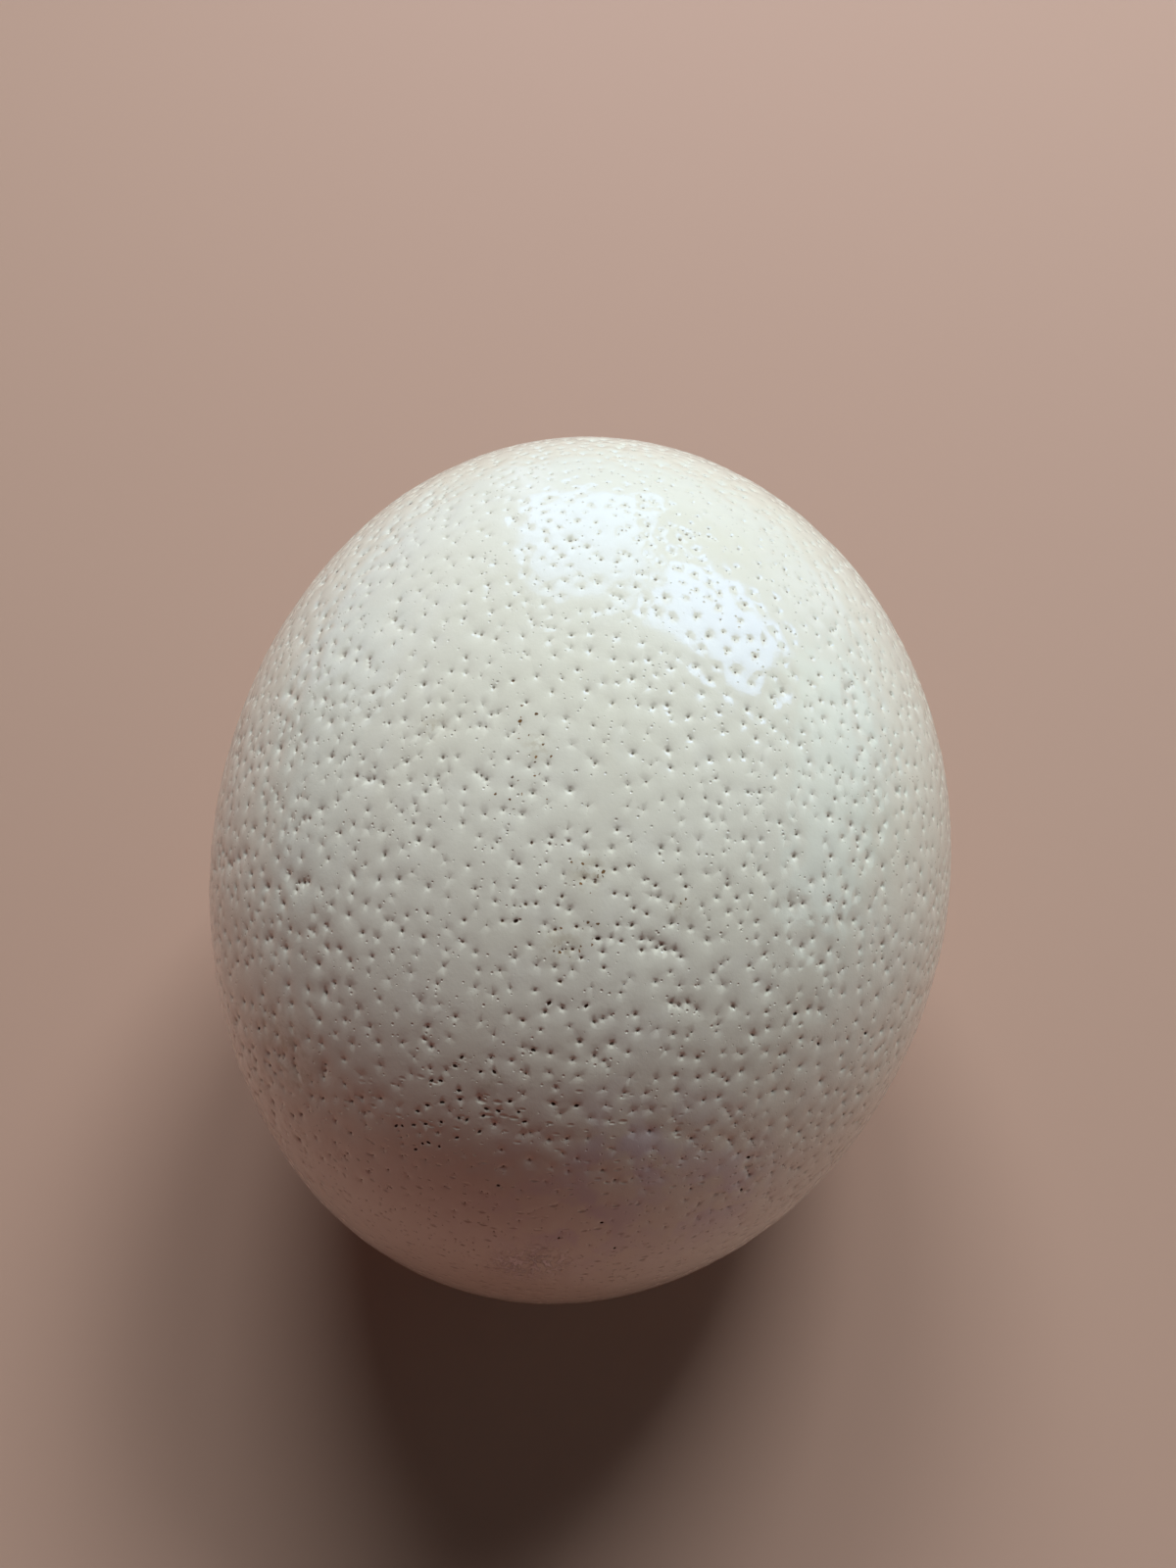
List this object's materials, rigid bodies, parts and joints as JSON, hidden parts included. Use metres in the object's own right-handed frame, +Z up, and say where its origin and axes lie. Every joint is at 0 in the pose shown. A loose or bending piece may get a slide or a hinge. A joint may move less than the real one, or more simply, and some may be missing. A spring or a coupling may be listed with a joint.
{
  "type": "ostrich egg",
  "caption": "Whole ostrich egg lying on its side, a large ivory shell with pitted gloss and a small flat spot to rest on.",
  "frame": {"origin": "on the surface it rests on, under the middle of the egg's box", "axes": "+Y along the egg's length towards the blunt end, +Z up from the resting spot"},
  "size_m": [0.127, 0.155, 0.1264],
  "materials": {
    "shell": "gloss"
  },
  "bodies": {
    "root": {"egg": "shell"}
  },
  "joints": []
}
